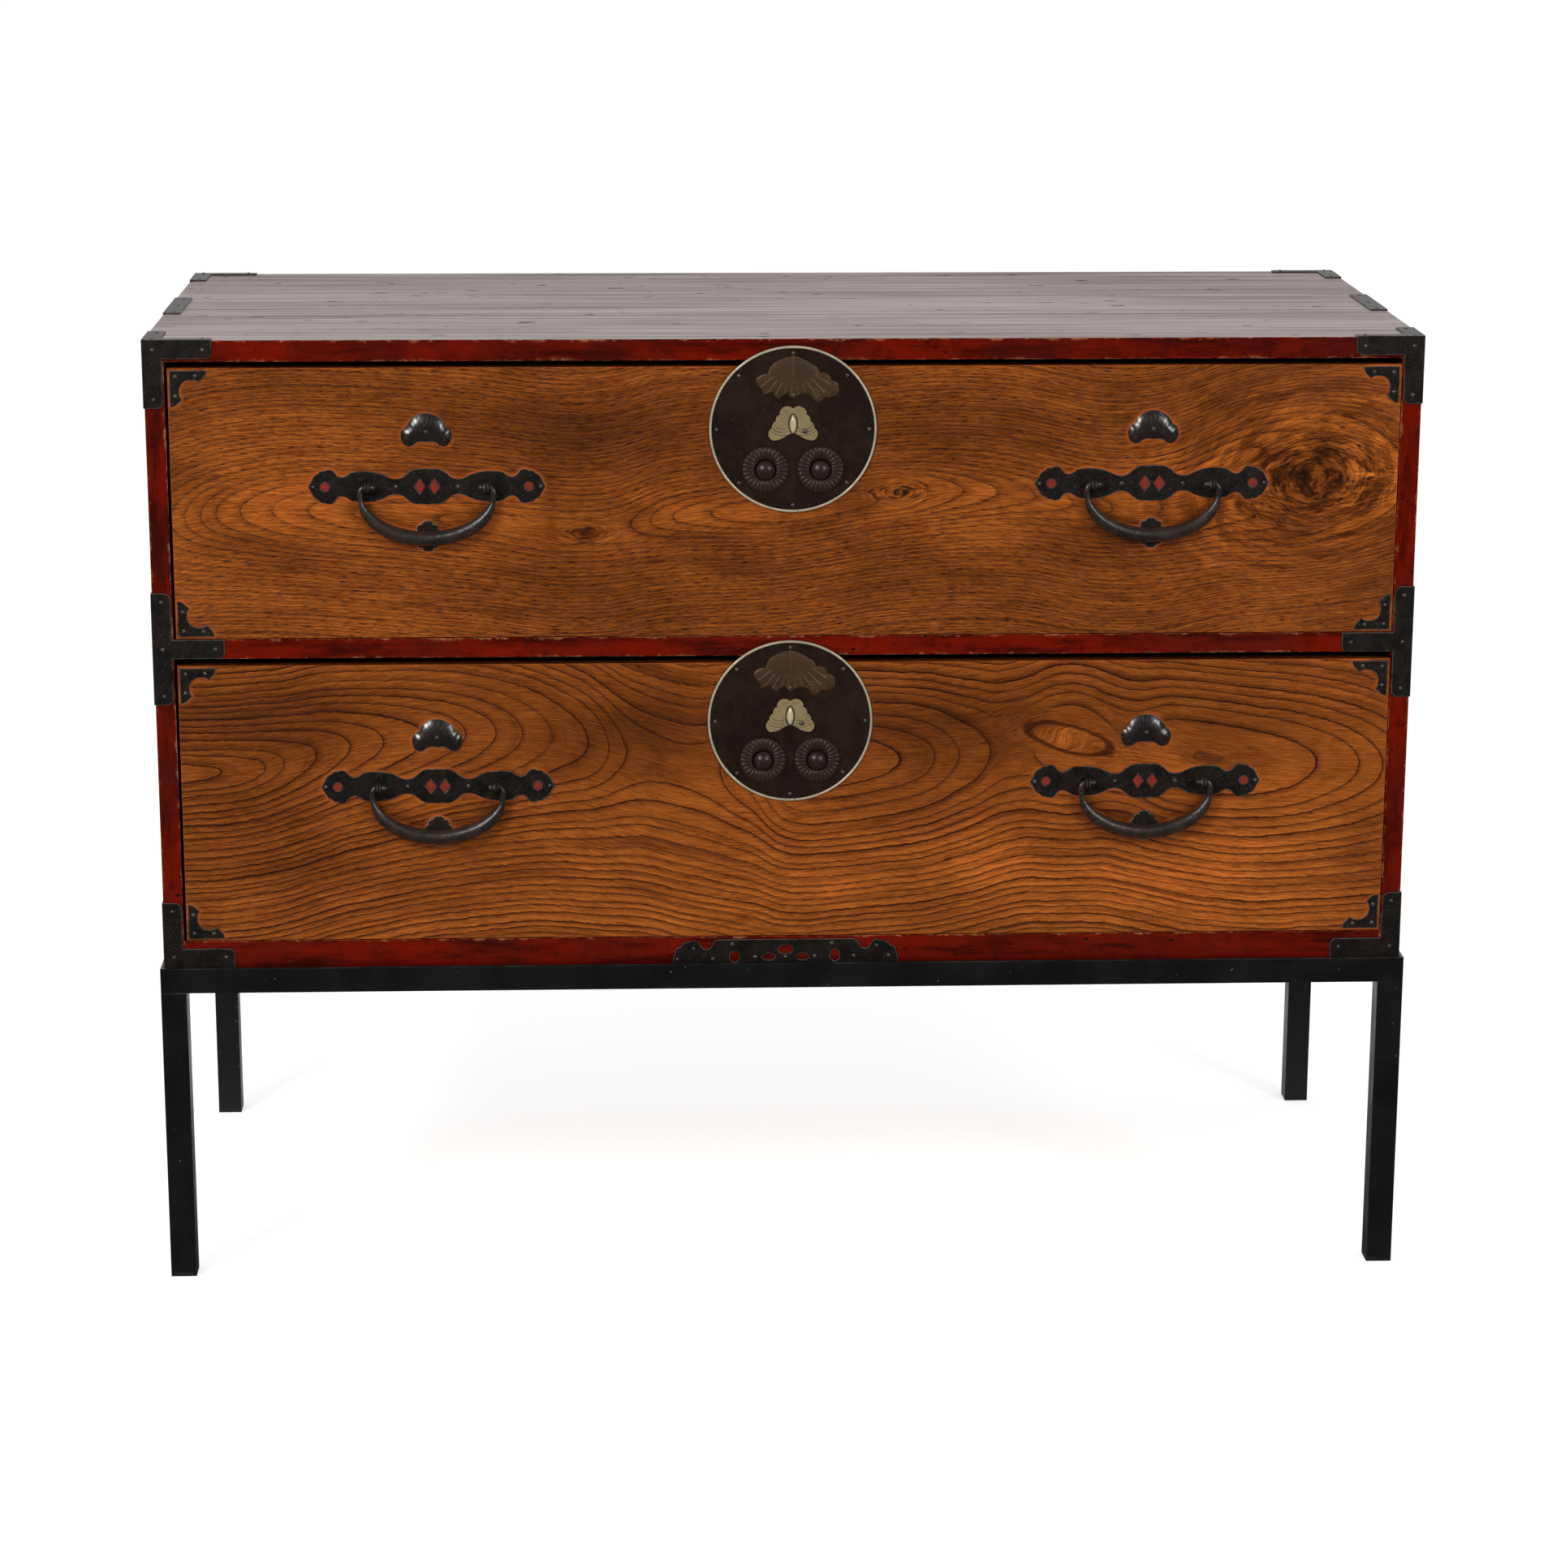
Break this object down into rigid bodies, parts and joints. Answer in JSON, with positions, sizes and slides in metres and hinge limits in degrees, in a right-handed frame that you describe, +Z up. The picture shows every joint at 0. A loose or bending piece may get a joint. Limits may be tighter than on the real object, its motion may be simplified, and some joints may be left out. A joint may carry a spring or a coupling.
{
  "type": "two-drawer chest on stand",
  "caption": "Low lacquered wooden chest with full-width drawers, round lock plates and bail handles, standing on a welded steel cradle with straight legs.",
  "frame": {"origin": "on the floor, under the middle of the whole object's width and depth, handles and stand included", "axes": "+X to the right seen from the front, along the drawers' width; +Y from front to back; +Z up"},
  "size_m": [1.219, 0.5301, 0.9337],
  "materials": {
    "stand_steel": "black paint, satin, worn along the lip",
    "red_lacquer": "dark red lacquer, glossy, worn at the edges",
    "top_lacquer": "dark brown lacquer, satin, fine grain",
    "zelkova_front": "wiped lacquer over bold zelkova grain, glossy",
    "plain_wood": "bare paulownia, aged",
    "forged_iron": "black lacquered iron, mottled",
    "lock_iron": "dark brown-black iron, worn",
    "rim_brass": "dull pale gold",
    "leaf_bronze": "dark bronze",
    "cover_brass": "pale worn brass",
    "inner_steel": "plain iron, oiled"
  },
  "bodies": {
    "chest": {"stand_legs": "stand_steel", "stand_feet": "stand_steel", "stand_cradle": "stand_steel", "case_top": "top_lacquer", "case_left_side": "red_lacquer", "case_right_side": "red_lacquer", "back_boards": "plain_wood", "mid_rail": "red_lacquer", "dust_board": "plain_wood", "base_rail": "red_lacquer", "case_bottom": "plain_wood", "cleats_and_stops": "plain_wood", "top_corner_caps": "forged_iron", "edge_straps": "forged_iron", "tee_plates": "forged_iron", "base_corner_plates": "forged_iron", "base_centre_plate": "forged_iron", "case_nails": "forged_iron"},
    "upper_drawer": {"upper_front": "zelkova_front", "upper_sides": "plain_wood", "upper_back": "plain_wood", "upper_bottom": "plain_wood", "upper_lock_plate": "lock_iron", "upper_lock_rim": "rim_brass", "upper_leaf_ornament": "leaf_bronze", "upper_rosettes": "lock_iron", "upper_lock_case": "inner_steel", "upper_handle_plates": "forged_iron", "upper_handle_posts": "forged_iron", "upper_bail_guards": "forged_iron", "upper_corner_plates": "forged_iron", "upper_nails": "forged_iron"},
    "upper_left_bail": {"upper_bail_left": "forged_iron"},
    "upper_right_bail": {"upper_bail_right": "forged_iron"},
    "upper_cover": {"upper_keyhole_cover": "cover_brass"},
    "upper_lock_knob": {"upper_lock_button": "lock_iron"},
    "upper_release_knob": {"upper_release_button": "lock_iron"},
    "upper_bolt": {"upper_lock_bolt": "inner_steel"},
    "lower_drawer": {"lower_front": "zelkova_front", "lower_sides": "plain_wood", "lower_back": "plain_wood", "lower_bottom": "plain_wood", "lower_lock_plate": "lock_iron", "lower_lock_rim": "rim_brass", "lower_leaf_ornament": "leaf_bronze", "lower_rosettes": "lock_iron", "lower_lock_case": "inner_steel", "lower_handle_plates": "forged_iron", "lower_handle_posts": "forged_iron", "lower_bail_guards": "forged_iron", "lower_corner_plates": "forged_iron", "lower_nails": "forged_iron"},
    "lower_left_bail": {"lower_bail_left": "forged_iron"},
    "lower_right_bail": {"lower_bail_right": "forged_iron"},
    "lower_cover": {"lower_keyhole_cover": "cover_brass"},
    "lower_lock_knob": {"lower_lock_button": "lock_iron"},
    "lower_release_knob": {"lower_release_button": "lock_iron"},
    "lower_bolt": {"lower_lock_bolt": "inner_steel"}
  },
  "joints": [
    {"name": "upper_drawer_slide", "type": "slide", "parent": "chest", "child": "upper_drawer", "axis": [0, -1, 0], "range_m": [0, 0.38]},
    {"name": "upper_left_bail_hinge", "type": "hinge", "parent": "upper_drawer", "child": "upper_left_bail", "pos_m": [-0.3415, -0.258, 0.792], "axis": [-1, 0, 0], "range_deg": [0, 170]},
    {"name": "upper_right_bail_hinge", "type": "hinge", "parent": "upper_drawer", "child": "upper_right_bail", "pos_m": [0.349, -0.258, 0.792], "axis": [-1, 0, 0], "range_deg": [0, 170]},
    {"name": "upper_cover_pivot", "type": "hinge", "parent": "upper_drawer", "child": "upper_cover", "pos_m": [0.0169, -0.2519, 0.8435], "axis": [0, 1, 0], "range_deg": [0, 35]},
    {"name": "upper_bolt_rise", "type": "slide", "parent": "upper_drawer", "child": "upper_bolt", "axis": [0, 0, 1], "range_m": [0, 0.014]},
    {"name": "upper_lock_press", "type": "slide", "parent": "upper_drawer", "child": "upper_lock_knob", "axis": [0, 1, 0], "range_m": [0, 0.003]},
    {"name": "upper_release_press", "type": "slide", "parent": "upper_drawer", "child": "upper_release_knob", "axis": [0, 1, 0], "range_m": [0, 0.003], "stiffness_N_per_m": 200},
    {"name": "lower_drawer_slide", "type": "slide", "parent": "chest", "child": "lower_drawer", "axis": [0, -1, 0], "range_m": [0, 0.38]},
    {"name": "lower_left_bail_hinge", "type": "hinge", "parent": "lower_drawer", "child": "lower_left_bail", "pos_m": [-0.3366, -0.258, 0.4987], "axis": [-1, 0, 0], "range_deg": [0, 170]},
    {"name": "lower_right_bail_hinge", "type": "hinge", "parent": "lower_drawer", "child": "lower_right_bail", "pos_m": [0.3495, -0.258, 0.4987], "axis": [-1, 0, 0], "range_deg": [0, 170]},
    {"name": "lower_cover_pivot", "type": "hinge", "parent": "lower_drawer", "child": "lower_cover", "pos_m": [0.015, -0.2519, 0.5592], "axis": [0, 1, 0], "range_deg": [0, 35]},
    {"name": "lower_bolt_rise", "type": "slide", "parent": "lower_drawer", "child": "lower_bolt", "axis": [0, 0, 1], "range_m": [0, 0.014]},
    {"name": "lower_lock_press", "type": "slide", "parent": "lower_drawer", "child": "lower_lock_knob", "axis": [0, 1, 0], "range_m": [0, 0.003]},
    {"name": "lower_release_press", "type": "slide", "parent": "lower_drawer", "child": "lower_release_knob", "axis": [0, 1, 0], "range_m": [0, 0.003], "stiffness_N_per_m": 200}
  ],
  "couplings": [
    {"joint": "upper_lock_press", "follows": "upper_bolt_rise", "ratio": 0.2142},
    {"joint": "lower_lock_press", "follows": "lower_bolt_rise", "ratio": 0.2142}
  ]
}
